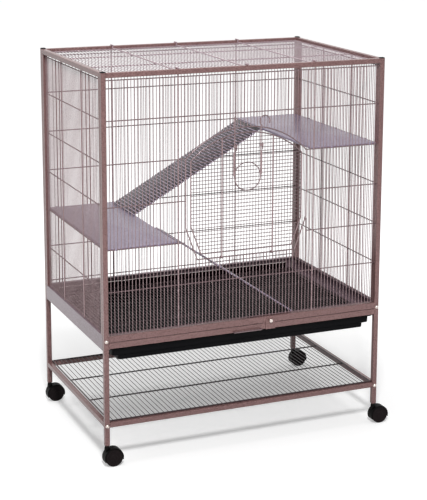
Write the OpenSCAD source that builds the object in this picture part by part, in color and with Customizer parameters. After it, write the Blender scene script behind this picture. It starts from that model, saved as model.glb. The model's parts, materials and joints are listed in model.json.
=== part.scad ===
// Ferret cage on a rolling stand: four barred panels and a drop-in top, a drop-down front door,
// two sheet platforms joined by ramps, a pull-out floor grille and tray, and a storage shelf.
// Millimetres. X runs left to right, Y front to back, Z up, with the floor at Z = 0.
// The sizes below are laid out about the centre of the four legs. The casters trail to the right,
// so the origin lies one caster trail to the right of that centre, in the middle of the footprint.

/* [Overall] */
// Width over the tube frame
cage_w = 787; // [700:1:900]
// Depth over the tube frame
cage_d = 521; // [500:1:640]
// Height from the floor to the top of the top rails
cage_h = 1016; // [1000:1:1200]

/* [Tube] */
// Side of the square tube
tube = 13; // [12:0.5:16]
// Wall of the square tube
tube_wall = 1.2; // [1:0.1:1.6]
// Outer corner radius of the square tube
tube_r = 1.5; // [1:0.1:2]
// Hairline left at butt joints
joint_gap = 0.1; // [0.05:0.05:0.2]
// Height of the caps on the posts
cap_h = 2.5; // [1:0.5:4]

/* [Bars] */
// Distance between neighbouring bars
bar_pitch = 9.525; // [9:0.025:12.7]
// Diameter of the bars
bar_d = 1.8; // [1.6:0.1:2.6]
// Diameter of the cross wires
cross_d = 3; // [2.6:0.1:3.4]
// Diameter of the thick uprights
upright_d = 4; // [3.4:0.1:5]
// Height between neighbouring cross wires
cross_pitch = 109; // [106:0.5:110]
// Drop of the panels' top cross wire below the rails
edge_drop = 7; // [4:0.5:12]
// Rise of the back panel's lowest cross wire over the others'
back_rise = 8.5; // [0:0.5:12]
// Depth that crossing wires sink into each other at a weld
weld = 0.3; // [0.2:0.05:0.4]
// Distance from the middle of the top to its cross wires
top_cross_y = 90; // [60:1:120]

/* [Base] */
// Top of the base, where the panels stand
base_top = 347; // [340:1:360]
// Height of the folded aprons
apron_h = 40; // [40:1:46]
// Width of the aprons' bottom lips, which carry the tray
apron_lip = 24; // [20:1:30]
// Thickness of the apron sheet
sheet = 1.2; // [1:0.1:1.6]
// Height of the fixed front rail
front_rail_h = 16; // [14:0.5:17]
// Height of the floor grille's front rail
grille_rail_h = 15; // [13:0.5:15.5]
// Running gap of the drawers
drawer_gap = 0.3; // [0.2:0.1:0.5]
// Diameter of the floor grille's frame wire
grille_wire = 4; // [3.5:0.1:5]
// Diameter of the floor grille's bars
grille_bar = 2; // [1.8:0.1:2.6]
// Height of the grille's rear rail
rear_rail_h = 22.5; // [12:0.5:24]
// Depth of the tray below its rim
tray_depth = 34; // [28:1:50]
// Depth of the tray's inset basin
basin_depth = 13; // [8:1:20]
// Inset of the basin from the tray's walls
basin_inset = 16.5; // [10:0.5:30]
// Inset of the basin behind the tray's front wall
basin_front = 2.5; // [1:0.5:8]
// Corner radius of the basin
basin_r = 7; // [5:1:30]
// Wall of the tray
tray_wall = 2.5; // [2:0.1:3.5]

/* [Catch and handle] */
// Place of the catch, to the right of the middle
catch_x = 67.5; // [55:0.5:90]
// Width of the catch plate
catch_w = 27; // [20:1:34]
// Thickness of the catch plate
catch_t = 1.5; // [1:0.1:2]
// Diameter of the catch screw
catch_screw_d = 5; // [4:0.5:6]
// Width of the pull handle
handle_w = 77; // [60:1:90]
// Diameter of the handle wire
handle_d = 4; // [3:0.1:4.5]
// Distance that the handle stands off its rail
handle_off = 7.5; // [6.5:0.1:7.5]

/* [Stand] */
// Length of the insert in each leg and in the post over it
insert_l = 40; // [30:1:60]
// Length of the plug that holds a caster stem
plug_l = 30; // [26:1:40]
// Height of the bottom of the legs
leg_bottom = 57; // [56:1:70]
// Bottom of the shelf's rails
shelf_z = 104.5; // [95:0.5:160]
// Distance between the shelf's bars
shelf_pitch = 12.7; // [10:0.1:16]
// Diameter of the frame bolts
bolt_d = 6; // [5:0.5:6]

/* [Door] */
// Width of the door opening, between wire centres
door_w = 340; // [330:1:342]
// Height of the sill, the opening's bottom wire
door_sill = 521; // [510:1:530]
// Height of the top of the arch
door_top = 858; // [850:1:865]
// Height at which the arch starts
door_spring = 785; // [775:1:790]
// Height of the slanted lower corners
slant_h = 86; // [70:1:100]
// Width of the slanted lower corners
slant_w = 32; // [24:1:34]
// Gap all round between the opening's wire and the door's wire
door_margin = 14; // [13:0.5:15]
// Diameter of the frame wires of the door and its opening
door_wire = 3.5; // [3:0.1:3.8]
// Diameter of the door's cross bars
door_bar = 2; // [1.6:0.1:2.4]
// Length of the hinge sleeves
sleeve_l = 5; // [4:0.1:5.5]

/* [Latch] */
// Radius of the pull ring
ring_r = 36.5; // [33:0.5:38]
// Height of the centre of the pull ring
ring_z = 729; // [720:1:735]
// Diameter of the latch wire
latch_wire = 3; // [2.6:0.1:3.2]
// Height of the top of the plain leg
latch_top = 886; // [875:1:890]
// Height at which the doubled part of the legs ends
double_top = 793; // [785:1:797]
// Radius of the finger loop
loop_r = 14; // [11:0.5:15]
// Height of the guides
guide_z = 806; // [803:1:810]

/* [Platforms] */
// Width of each platform
platform_w = 190.5; // [150:0.5:191]
// Height of the folded lips
platform_lip = 6; // [6:0.5:16]
// Thickness of the platform sheet
platform_sheet = 1; // [0.8:0.1:1.4]
// Height of the platforms over the cross wires that carry them
platform_rise = 3; // [3:0.5:6]
// Width of the hooks on the platforms
hook_w = 4.6; // [3:0.1:5]

/* [Ramps] */
// Length of each ramp, from its hook to its last rib
ramp_l = 434; // [425:1:445]
// Width of each ramp
ramp_w = 168; // [120:1:170]
// Thickness of the ramps
ramp_t = 1.6; // [1.2:0.1:2]
// Distance between the ribs of a ramp
rib_pitch = 9.525; // [7:0.025:12]
// Diameter of the ribs of a ramp
rib_d = 4.8; // [3:0.1:5]
// Diameter of the rods that the ramps hook on
rod_d = 4; // [3.5:0.1:4.5]
// Wall of the ramps' hooks
curl_wall = 1.5; // [1.2:0.1:2]

/* [Casters] */
// Diameter of the wheels
wheel_d = 46; // [44:1:51]
// Width of one wheel
wheel_w = 7; // [6:0.5:12]
// Thickness of the caster's body between the wheels
caster_web = 11; // [10.5:0.5:13]
// Distance from the swivel axis to the wheel axle
caster_trail = 16; // [13:0.5:18]
// Diameter of the swivel stem
stem_d = 8; // [7:0.5:8]
// Diameter of the wheel axle
axle_d = 6; // [5:0.5:7]
// Radial clearance of the turning fits
turn_gap = 0.05; // [0.02:0.01:0.1]

/* [Hidden] */
$fn = 32;
wire_fn = 16;
square_fn = 8;
steel = "#8a6a66";
pale_steel = "#9a98ae";
dark_steel = "#5a4248";
dark_wire = "#6e5250";
black_plastic = "#1c1c20";
bright = "#d8d0c8";

hw = cage_w / 2;
hd = cage_d / 2;
half_tube = tube / 2;
tube_in = tube - 2 * tube_wall;
post_x = hw - half_tube;
post_y = hd - half_tube;
in_x = hw - tube;
in_y = hd - tube;
front_y = -post_y;

leg_top = base_top - 6;
bolt_z = leg_top - 7.2;
shelf_bolt_z = shelf_z + 4.5;
bolt_hole = bolt_d + 0.2;
insert_w = tube_in - 0.1;

panel_bottom = base_top + 1 + joint_gap;
rail_bottom = cage_h - tube;
bar_top = rail_bottom - joint_gap;
levels = [for (k = [0:5]) base_top + 3 + k * cross_pitch];
back_low = levels[0] + back_rise;
edge_z = rail_bottom - edge_drop;
bar_end = edge_z + 2;
cross_off = (bar_d + cross_d) / 2 - weld;
upright_off = (upright_d + cross_d) / 2 - weld - cross_off;
wide_n = floor((in_x - bar_d / 2 - 2) / bar_pitch);
deep_n = floor((in_y - tube - bar_d / 2 - 2) / bar_pitch);
upright_n = round(190 / bar_pitch);
side_upright_n = round(86 / bar_pitch);

door_half = door_w / 2;
arch_h = door_top - door_spring;
arch_r = (door_half * door_half + arch_h * arch_h) / (2 * arch_h);
arch_z = door_top - arch_r;
arch_a = asin(door_half / arch_r);
slant = slant_h / slant_w;
slant_len = sqrt(slant_h * slant_h + slant_w * slant_w);
sill_half = door_half - slant_w;
slant_top = door_sill + slant_h;
leaf_half = door_half - door_margin;
leaf_r = arch_r - door_margin;
leaf_a = asin(leaf_half / leaf_r);
leaf_spring = arch_z + leaf_r * cos(leaf_a);
leaf_bottom = door_sill + door_margin;
leaf_sill_half = sill_half - door_margin * (slant_len - slant_w) / slant_h;
leaf_slant_top = door_sill + (leaf_half - sill_half) * slant + door_margin * slant_len / slant_w;
wire_clear = door_wire / 2 + joint_gap;
opening_n = floor((door_half + wire_clear + bar_d / 2) / bar_pitch) + 0.5;
sill_n = floor((sill_half - 3) / bar_pitch) + 0.5;
crown_n = 7.5;
stiff_x = crown_n * bar_pitch;
stiff_y = front_y - door_wire - joint_gap;
leaf_bar_y = front_y + (door_wire + door_bar) / 2 + joint_gap;
latch_y = front_y - door_wire / 2 - latch_wire / 2 - 0.3;
band_x = ring_r + latch_wire - weld;
loop_x = ring_r + loop_r - latch_wire;
loop_z = ring_z + 142;

apron_bottom = base_top + 1 - apron_h;
rim_t = 2.5;
rim_z = apron_bottom + sheet + drawer_gap;
rim_top = rim_z + rim_t;
runner_z = rim_top + drawer_gap + 0.2;
runner_w = apron_lip + 7;
grille_z = runner_z + sheet + drawer_gap + grille_wire / 2;
grille_bar_z = grille_z + (grille_wire + grille_bar) / 2 - weld;
grille_top = grille_bar_z + grille_bar / 2;
grille_half = hw - apron_lip - grille_wire / 2;
grille_rail_z = base_top - front_rail_h - 1.6 - grille_rail_h;
grille_rail_d = tube - 1;
grille_front = -hd + grille_rail_d + joint_gap + grille_wire / 2;
grille_back = in_y - 4;
rear_rail_t = 3;
grille_n = floor((grille_half - grille_wire) / bar_pitch);
tray_half = hw - apron_lip - 1;
tray_back = hd - apron_lip - 1;
tray_front = in_y + 2.5;
rim_w = 7;
tab_w = apron_lip - rim_w - 1;
catch_z = base_top - 11.5;
catch_bottom = rim_top + 1;
handle_z = grille_rail_z + 2;

platform_x = post_x - half_tube - 0.5;
platform_y = post_y - half_tube - 0.5;
platform_gap = post_x - cross_off - cross_d / 2 - platform_x;
lower_top = levels[2] + platform_rise;
upper_top = levels[4] + platform_rise;
platform_edge = platform_x - platform_w;
rod_out = 6;
rod_drop = 4;
rod_x = platform_edge - rod_out;
curl_in = rod_d / 2 + 0.1;
curl_out = curl_in + curl_wall;
ramp_mid = curl_out - ramp_t / 2;
rib_n = floor((ramp_l - curl_out - rib_pitch / 2) / rib_pitch);
rod_past = 2.5;
ramp_y = platform_y - rod_past - ramp_w / 2;
upper_ramp_y = 142;
// Slope at which a ramp's last rib rests just over a surface that lies h below the hook's axis
function ramp_slope(h) = atan(ramp_mid / ramp_l)
    + asin((h - rib_d / 2 - 0.3) / sqrt(ramp_l * ramp_l + ramp_mid * ramp_mid));
lower_slope = ramp_slope(lower_top - rod_drop - grille_top);
upper_slope = ramp_slope(upper_top - rod_drop - lower_top);

axle_z = wheel_d / 2;
hood_in = wheel_d / 2 + 0.8;
hood_out = hood_in + 2;
hood_w = caster_web + 2 * wheel_w + 1.2;
hood_top = leg_bottom - 3;
collar_t = 2;
stem_bottom = axle_z - 2;

function arch_at(x, r) = arch_z + sqrt(r * r - x * x);
// Height of the opening's wire over the sill's end, out along the slanted corner
function slant_at(x) = door_sill + max(0, (abs(x) - sill_half) * slant);
function leaf_half_at(z) = z < leaf_slant_top ? leaf_sill_half + (z - leaf_bottom) / slant
    : z < leaf_spring ? leaf_half : sqrt(leaf_r * leaf_r - (z - arch_z) * (z - arch_z));

module at_origin() translate([-caster_trail, 0, 0]) children();
module both_x() for (s = [-1, 1]) translate([s * post_x, 0, 0]) children();
module corners() for (sx = [-1, 1], sy = [-1, 1]) translate([sx * post_x, sy * post_y, 0]) children();

// A square tube of length l that stands on the origin
module tube_up(l) difference() {
    linear_extrude(l) rounded_rect(-half_tube, half_tube, -half_tube, half_tube, tube_r);
    translate([-tube_in / 2, -tube_in / 2, -1]) cube([tube_in, tube_in, l + 2]);
}

module tube_x(x0, x1, y, z) translate([x0, y, z]) rotate([0, 90, 0]) tube_up(x1 - x0);
module tube_y(y0, y1, x, z) translate([x, y0, z]) rotate([-90, 0, 0]) tube_up(y1 - y0);
module tube_z(z0, z1, x, y) translate([x, y, z0]) tube_up(z1 - z0);

module wire_x(x0, x1, y, z, d, n = square_fn)
    translate([x0, y, z]) rotate([0, 90, 0]) cylinder(d = d, h = x1 - x0, $fn = n);

module wire_y(y0, y1, x, z, d, n = square_fn)
    translate([x, y0, z]) rotate([-90, 0, 0]) cylinder(d = d, h = y1 - y0, $fn = n);

module wire_z(z0, z1, x, y, d, n = wire_fn)
    translate([x, y, z0]) cylinder(d = d, h = z1 - z0, $fn = n);

// A straight wire between two points of the front plane, given as [x, z]
module wire_xz(p, q, y, d) {
    v = q - p;
    translate([p[0], y, p[1]]) rotate([0, atan2(v[0], v[1]), 0])
        cylinder(d = d, h = norm(v), $fn = wire_fn);
}

// A small bead where two wires of one frame meet
module bead(p, y, d) translate([p[0], y, p[1]]) sphere(d = d + 0.1, $fn = wire_fn);

// An arc of wire in the front plane round [x, z], from angle a over the given sweep
module wire_arc(x, z, y, r, d, a, sweep)
    translate([x, y, z]) rotate([90, 0, 0]) rotate([0, 0, a])
        rotate_extrude(angle = sweep, $fn = 96) translate([r, 0]) circle(d = d, $fn = wire_fn);

// A frame wire with an arch on top and slanted lower corners
module arched_wire(half, low_half, low, slant_end, spring, r, a, d) {
    for (s = [-1, 1]) {
        wire_xz([s * low_half, low], [s * half, slant_end], front_y, d);
        wire_z(slant_end, spring, s * half, front_y, d);
        bead([s * low_half, low], front_y, d);
        bead([s * half, slant_end], front_y, d);
        bead([s * half, spring], front_y, d);
    }
    wire_x(-low_half, low_half, front_y, low, d, wire_fn);
    wire_arc(0, arch_z, front_y, r, d, 90 - a, 2 * a);
}

module rounded_rect(x0, x1, y0, y1, r) {
    translate([x0 + r, y0]) square([x1 - x0 - 2 * r, y1 - y0]);
    translate([x0, y0 + r]) square([x1 - x0, y1 - y0 - 2 * r]);
    for (x = [x0 + r, x1 - r], y = [y0 + r, y1 - r]) translate([x, y]) circle(r = r);
}

// Two full-height posts with a top rail between them, in the plane y
module wide_frame(y) {
    both_x() tube_z(leg_top + joint_gap, cage_h, 0, y);
    tube_x(-in_x + joint_gap, in_x - joint_gap, y, cage_h - half_tube);
}

// Two posts under a top rail that runs between the front and back panels, in the plane x
module side_frame(x) {
    for (s = [-1, 1])
        tube_z(panel_bottom, rail_bottom - joint_gap, x, s * (in_y - joint_gap - half_tube));
    tube_y(-in_y + joint_gap, in_y - joint_gap, x, cage_h - half_tube);
}

// Upright bars k0 to k1 in a wide panel, s the way its inside lies, with a thick upright at k = n
module wide_bars(k0, k1, y, s) for (k = [k0:k1])
    if (abs(k) == upright_n) wire_z(panel_bottom, bar_top, k * bar_pitch, y - s * upright_off, upright_d);
    else wire_z(panel_bottom, bar_end, k * bar_pitch, y, bar_d);

module side_bars(x, s) {
    for (k = [-deep_n:deep_n])
        if (abs(k) == side_upright_n)
            wire_z(panel_bottom, bar_top, x - s * upright_off, k * bar_pitch, upright_d);
        else wire_z(panel_bottom, bar_end, x, k * bar_pitch, bar_d);
    for (z = concat(levels, [edge_z]))
        wire_y(-in_y + tube + 2 * joint_gap, in_y - tube - 2 * joint_gap, x + s * cross_off, z, cross_d);
}

module front_frame() color(steel) at_origin() wide_frame(front_y);
module back_frame() color(steel) at_origin() wide_frame(post_y);
module left_frame() color(pale_steel) at_origin() side_frame(-post_x);
module right_frame() color(steel) at_origin() side_frame(post_x);

module front_bay(s) {
    x_in = s * (opening_n * bar_pitch + joint_gap / 2);
    x_out = s * (in_x - joint_gap);
    x_open = s * (door_half + wire_clear);
    wide_bars(s > 0 ? ceil(opening_n) : -wide_n, s > 0 ? wide_n : -ceil(opening_n), front_y, 1);
    for (i = [0:5]) {
        x = i > 1 && i < 5 ? x_open : x_in;
        wire_x(min(x, x_out), max(x, x_out), front_y + cross_off, levels[i], cross_d);
    }
    wire_x(min(x_in, x_out), max(x_in, x_out), front_y + cross_off, edge_z, cross_d);
}

module front_bars_left() color(steel) at_origin() front_bay(-1);
module front_bars_right() color(steel) at_origin() front_bay(1);

// Bars over the arch between pitches n0 and n1, counted from the middle
module crown_bars(n0, n1) {
    for (k = [ceil(n0):floor(n1)]) {
        x = k * bar_pitch;
        low = abs(x) < door_half - wire_clear ? arch_at(x, arch_r) + wire_clear * arch_r / (arch_at(x, arch_r) - arch_z)
            : door_spring + 7;
        wire_z(low, bar_end, x, front_y, bar_d);
    }
    for (z = [levels[5], edge_z])
        wire_x(n0 * bar_pitch + joint_gap / 2, n1 * bar_pitch - joint_gap / 2, front_y + cross_off, z, cross_d);
}

module front_bars_above() color(steel) at_origin() {
    crown_bars(-opening_n, -crown_n);
    crown_bars(-crown_n, crown_n);
    crown_bars(crown_n, opening_n);
}

// Bars under the sill and its slanted corners between pitches n0 and n1
module sill_bars(n0, n1) {
    for (k = [ceil(n0):floor(n1)]) {
        x = k * bar_pitch;
        clear = abs(x) > sill_half - 3 ? (wire_clear + bar_d / 2) * slant_len / slant_w : wire_clear;
        wire_z(panel_bottom, slant_at(x) - clear, x, front_y, bar_d);
    }
    for (z = [levels[0], levels[1]])
        wire_x(n0 * bar_pitch + joint_gap / 2, n1 * bar_pitch - joint_gap / 2, front_y + cross_off, z, cross_d);
}

module front_bars_below() color(steel) at_origin() {
    sill_bars(-opening_n, -sill_n);
    sill_bars(-sill_n, sill_n);
    sill_bars(sill_n, opening_n);
}

module door_opening_frame() color(steel) at_origin()
    arched_wire(door_half, sill_half, door_sill, slant_top, door_spring, arch_r, arch_a, door_wire);

module back_bars() color(dark_wire) at_origin() {
    wide_bars(-wide_n, wide_n, post_y, -1);
    for (z = concat(levels, [edge_z]))
        wire_x(-in_x + joint_gap, in_x - joint_gap, post_y - cross_off, z == levels[0] ? back_low : z, cross_d);
}

module left_bars() color(steel) at_origin() side_bars(-post_x, 1);
module right_bars() color(dark_wire) at_origin() side_bars(post_x, -1);

module top_grid() color(steel) at_origin() {
    z_bar = cage_h - 7;
    z_cross = z_bar - cross_off;
    z_stiff = z_cross + (upright_d + cross_d) / 2 - weld;
    z_hook = cage_h + joint_gap + upright_d / 2;
    x_end = in_x - 2;
    y_end = in_y - 2.5;
    for (k = [-wide_n:wide_n])
        if (k == 0 || abs(k) == upright_n) {
            x = k * bar_pitch;
            wire_y(-y_end, y_end, x, z_stiff, upright_d, wire_fn);
            for (s = [-1, 1]) {
                wire_z(z_stiff - 0.5, z_hook + 0.5, x, s * (y_end - upright_d / 2 - 0.4), upright_d - 0.3);
                wire_y(s > 0 ? y_end - upright_d : -hd + 2, s > 0 ? hd - 2 : -y_end + upright_d, x, z_hook,
                    upright_d, wire_fn);
            }
        }
        else wire_y(-y_end, y_end, k * bar_pitch, z_bar, bar_d, wire_fn);
    for (y = [-y_end + cross_d, -top_cross_y, top_cross_y, y_end - cross_d])
        wire_x(-x_end, x_end, y, z_cross, cross_d);
    for (s = [-1, 1]) wire_y(-y_end + 1, y_end - 1, s * (x_end - cross_d), z_cross, cross_d - 0.1);
}

module front_rail() color(steel) at_origin() difference() {
    translate([-in_x + joint_gap, -hd, base_top - front_rail_h])
        cube([2 * (in_x - joint_gap), tube, front_rail_h]);
    translate([-in_x - 1, -hd + tube_wall, base_top - front_rail_h + tube_wall])
        cube([2 * in_x + 2, tube_in, front_rail_h - 2 * tube_wall]);
    translate([catch_x, -hd - 1, catch_z]) rotate([-90, 0, 0])
        cylinder(d = catch_screw_d + 0.6, h = tube_wall + 2);
}

// A folded apron for the side s, with its bottom lip, end tabs and the grille's runner
module side_apron(s) {
    len = 2 * (in_y - joint_gap);
    scale_x = s > 0 ? 0 : 1;
    mirror([scale_x, 0, 0]) {
        difference() {
            union() {
                translate([hw - sheet, -len / 2, apron_bottom]) cube([sheet, len, apron_h]);
                translate([hw - tube, -len / 2, base_top + 1 - sheet]) cube([tube, len, sheet]);
                translate([hw - apron_lip, -len / 2, apron_bottom]) cube([apron_lip, len, sheet]);
                for (y = [-len / 2, len / 2 - sheet])
                    translate([hw - tab_w, y, apron_bottom]) cube([tab_w, sheet, apron_h]);
            }
            translate([post_x, -hd, bolt_z]) rotate([-90, 0, 0]) cylinder(d = bolt_hole, h = cage_d);
        }
        translate([hw - runner_w, -len / 2 + sheet + joint_gap, runner_z])
            cube([runner_w - sheet - joint_gap, len - 2 * (sheet + joint_gap), sheet]);
    }
}

module left_apron() color(pale_steel) at_origin() side_apron(-1);
module right_apron() color(dark_wire) at_origin() side_apron(1);

module rear_apron() color(dark_wire) at_origin() {
    len = 2 * (in_x - joint_gap);
    translate([-len / 2, hd - sheet, apron_bottom]) cube([len, sheet, apron_h]);
    translate([-len / 2, in_y, base_top + 1 - sheet]) cube([len, tube, sheet]);
    lip = 2 * (hw - apron_lip - 2);
    translate([-lip / 2, hd - apron_lip, apron_bottom]) cube([lip, apron_lip, sheet]);
}

module legs() color(steel) at_origin() corners() difference() {
    tube_z(leg_bottom, leg_top, 0, 0);
    for (z = [bolt_z, shelf_bolt_z])
        translate([0, -tube, z]) rotate([-90, 0, 0]) cylinder(d = bolt_hole, h = 2 * tube);
}

module leg_inserts() color(black_plastic) at_origin() {
    corners() {
        difference() {
            translate([-insert_w / 2, -insert_w / 2, leg_top - insert_l]) cube([insert_w, insert_w, 2 * insert_l]);
            translate([0, -tube, bolt_z]) rotate([-90, 0, 0]) cylinder(d = bolt_hole, h = 2 * tube);
        }
        difference() {
            translate([-insert_w / 2, -insert_w / 2, leg_bottom + joint_gap]) cube([insert_w, insert_w, plug_l]);
            translate([0, 0, leg_bottom]) cylinder(d = stem_d + 0.1, h = plug_l - 4);
        }
    }
    for (sx = [-1, 1], sy = [-1, 1]) difference() {
        translate([sx * post_x - insert_w / 2, sy * (in_y - joint_gap - 10) - 10, shelf_z + tube_wall + 0.05])
            cube([insert_w, 20, insert_w]);
        translate([sx * post_x, sy * in_y - 30, shelf_bolt_z]) rotate([-90, 0, 0]) cylinder(d = bolt_hole, h = 60);
    }
}

module frame_bolts() color(bright) at_origin()
    for (sx = [-1, 1], sy = [-1, 1], z = [bolt_z, shelf_bolt_z])
        translate([sx * post_x, sy * (hd + joint_gap), z]) rotate([sy * 90, 0, 0]) {
            translate([0, 0, -4.2]) cylinder(d = bolt_d * 1.75, h = 4.2, $fn = 6);
            translate([0, 0, -0.2]) cylinder(d = bolt_d, h = tube + 8);
        }

module post_caps() color(black_plastic) at_origin() corners() {
    translate([0, 0, cage_h + joint_gap]) linear_extrude(cap_h * 0.6)
        rounded_rect(-half_tube, half_tube, -half_tube, half_tube, tube_r);
    translate([-half_tube + 1.5, -half_tube + 1.5, cage_h + joint_gap]) cube([tube - 3, tube - 3, cap_h]);
    translate([-insert_w / 2, -insert_w / 2, cage_h - 12]) cube([insert_w, insert_w, 12 + joint_gap + 0.5]);
}

module shelf_frame() color(steel) at_origin() {
    for (s = [-1, 1]) {
        tube_x(-in_x + joint_gap, in_x - joint_gap, s * post_y, shelf_z + half_tube);
        tube_y(-in_y + joint_gap, in_y - joint_gap, s * post_x, shelf_z + half_tube);
    }
}

module shelf_bars() color(dark_wire) at_origin() {
    z_frame = shelf_z + tube + joint_gap + upright_d / 2;
    z_bar = z_frame;
    z_cross = z_bar - (bar_d + upright_d) / 2 + weld;
    x_end = in_x - joint_gap - upright_d / 2;
    y_end = in_y + upright_d / 2 + 1;
    n = floor((x_end - upright_d) / shelf_pitch);
    for (s = [-1, 1]) {
        wire_x(-x_end - upright_d / 2, x_end + upright_d / 2, s * y_end, z_frame, upright_d);
        wire_y(-y_end, y_end, s * x_end, z_frame, upright_d - 0.1);
        wire_x(-x_end, x_end, s * y_end / 3, z_cross, upright_d);
    }
    for (k = [-n:n]) wire_y(-y_end, y_end, k * shelf_pitch, z_bar, bar_d, wire_fn);
}

module caster_stems() color(bright) at_origin() corners() {
    translate([0, 0, stem_bottom]) cylinder(d = stem_d, h = leg_bottom - stem_bottom + 25);
    translate([0, 0, leg_bottom - joint_gap - collar_t]) cylinder(d = tube, h = collar_t);
}

// A folded sheet platform with its outer edge to the left, and hooks over the cross wires
module platform(top, wire_z0) {
    w = platform_w;
    y = platform_y;
    difference() {
        translate([-platform_x, -y, top - platform_lip]) cube([w, 2 * y, platform_lip]);
        translate([-platform_x + platform_sheet, -y + platform_sheet, top - platform_lip - 1])
            cube([w - 2 * platform_sheet, 2 * (y - platform_sheet), platform_lip + 1 - platform_sheet]);
    }
    for (k = [-18.5, -0.5, 17.5]) translate([-platform_x, k * bar_pitch, wire_z0]) rotate([0, 0, 180]) hook();
    for (k = [-37.5, -25.5]) {
        translate([k * bar_pitch, -y, wire_z0]) rotate([0, 0, -90]) hook();
        translate([k * bar_pitch, y, wire_z0]) rotate([0, 0, 90]) hook();
    }
}

// A hook that reaches out along +X over a cross wire and down behind it
module hook() {
    reach = platform_gap + cross_d + 0.3;
    low = cross_d / 2 + 0.2;
    translate([-platform_sheet, -hook_w / 2, low]) cube([platform_sheet + reach + 1, hook_w, 1]);
    translate([reach, -hook_w / 2, -1.5]) cube([1, hook_w, low + 2.5]);
}

module lower_platform() color(pale_steel) at_origin() platform(lower_top, levels[2]);
module upper_platform() color(pale_steel) at_origin() mirror([1, 0, 0]) platform(upper_top, levels[4]);

// A rod along Y at the origin, on two tabs that reach back along +X to a platform's lip
module edge_rod() {
    half = ramp_w / 2;
    tab = rod_past - 1;
    wire_y(-half - rod_past, half + rod_past, 0, 0, rod_d, 24);
    for (y = [-half - 0.7 - tab, half + 0.7])
        translate([-1, y, -rod_d / 2 + 0.4]) cube([rod_out + 1 - joint_gap, tab, rod_d - 0.8]);
}

module platform_rods() color(pale_steel) at_origin() {
    translate([rod_x, upper_ramp_y, upper_top - rod_drop]) edge_rod();
    translate([-rod_x, -ramp_y, lower_top - rod_drop]) mirror([1, 0, 0]) edge_rod();
}

// A ramp that runs along +X from a hook curled round the Y axis
module ramp() {
    difference() {
        union() {
            rotate([90, 0, 0]) cylinder(r = curl_out, h = ramp_w - 4, center = true);
            translate([0, -ramp_w / 2 + 2, ramp_mid - ramp_t / 2]) cube([ramp_l + 1, ramp_w - 4, ramp_t]);
            for (i = [0:rib_n])
                wire_y(-ramp_w / 2, ramp_w / 2, ramp_l - i * rib_pitch, ramp_mid, rib_d, 24);
        }
        rotate([90, 0, 0]) cylinder(r = curl_in, h = ramp_w + 2, center = true);
        rotate([0, 20, 0]) translate([-curl_in * 0.9, -ramp_w / 2 - 1, -3 * curl_out])
            cube([curl_in * 1.8, ramp_w + 2, 3 * curl_out]);
    }
}

module lower_ramp() color(dark_steel) at_origin()
    translate([-rod_x, -ramp_y, lower_top - rod_drop]) rotate([0, lower_slope, 0]) ramp();

module upper_ramp() color(dark_steel) at_origin()
    translate([rod_x, upper_ramp_y, upper_top - rod_drop]) mirror([1, 0, 0]) rotate([0, upper_slope, 0]) ramp();

module door_leaf() color(steel) at_origin()
    arched_wire(leaf_half, leaf_sill_half, leaf_bottom, leaf_slant_top, leaf_spring, leaf_r, leaf_a, door_wire);

module door_bars() color(steel) at_origin() {
    n = floor((arch_z + leaf_r - 5 - leaf_bottom) / bar_pitch);
    for (i = [1:n]) {
        z = leaf_bottom + i * bar_pitch;
        wire_x(-leaf_half_at(z), leaf_half_at(z), leaf_bar_y, z, door_bar, wire_fn);
    }
}

module door_stiffeners() color(steel) at_origin() for (s = [-1, 1]) difference() {
    union() {
        wire_z(door_sill + 0.5, arch_at(stiff_x, leaf_r) + 1, s * stiff_x, stiff_y, door_wire);
        wire_x(s * stiff_x - sleeve_l / 2, s * stiff_x + sleeve_l / 2, front_y, door_sill, door_wire + 4, 32);
    }
    wire_x(s * stiff_x - sleeve_l, s * stiff_x + sleeve_l, front_y, door_sill, door_wire + 0.2, 32);
}

module latch_guides() color(steel) at_origin() for (x = [-ring_r, ring_r]) difference() {
    w = latch_wire;
    y_post = leaf_bar_y - door_bar / 2 - joint_gap - w / 2;
    union() {
        wire_z(guide_z, guide_z + 5, x, latch_y, w + 3, 24);
        translate([x, latch_y - w / 2, guide_z]) cube([7, y_post - latch_y + w / 2, 5]);
        wire_z(guide_z - 9, guide_z + 8, x + 7, y_post, w);
    }
    wire_z(guide_z - 1, guide_z + 6, x, latch_y, w + 2 * 0.08, 24);
}

module door_latch() color(steel) at_origin() {
    d = latch_wire;
    wire_arc(0, ring_z, latch_y, ring_r, d, 180, 180);
    wire_arc(0, ring_z, latch_y + d - 0.2 + joint_gap / 2, ring_r, d - 0.4, 0, 180);
    wire_z(ring_z, latch_top, -ring_r, latch_y, d);
    wire_z(ring_z, loop_z - loop_r * 0.75, ring_r, latch_y, d);
    wire_arc(loop_x, loop_z, latch_y, loop_r, d, -30, 270);
    for (s = [-1, 1]) {
        bead([s * ring_r, ring_z], latch_y, d);
        wire_z(ring_z + 4, double_top, s * band_x, latch_y, d);
    }
}

module grille_box(w, y0, y1) {
    for (y = [y0, y1]) wire_x(-w - grille_wire / 2, w + grille_wire / 2, y, grille_z, grille_wire);
    for (s = [-1, 1]) wire_y(y0, y1, s * w, grille_z, grille_wire - 0.1);
}

module floor_grille() color(dark_wire) at_origin() {
    grille_box(grille_half, grille_front, grille_back);
    for (y = [-in_y / 3, in_y / 3]) wire_x(-grille_half, grille_half, y, grille_z, grille_wire);
    for (k = [-grille_n:grille_n])
        wire_y(grille_front, grille_back, k * bar_pitch, grille_bar_z, grille_bar, wire_fn);
}

module grille_front_rail() color(steel) at_origin() difference() {
    half = in_x - 4 * joint_gap;
    translate([-half, -hd, grille_rail_z]) cube([2 * half, grille_rail_d, grille_rail_h]);
    translate([-half - 1, -hd + tube_wall, grille_rail_z + tube_wall])
        cube([2 * half + 2, grille_rail_d - 2 * tube_wall, grille_rail_h - 2 * tube_wall]);
}

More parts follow.
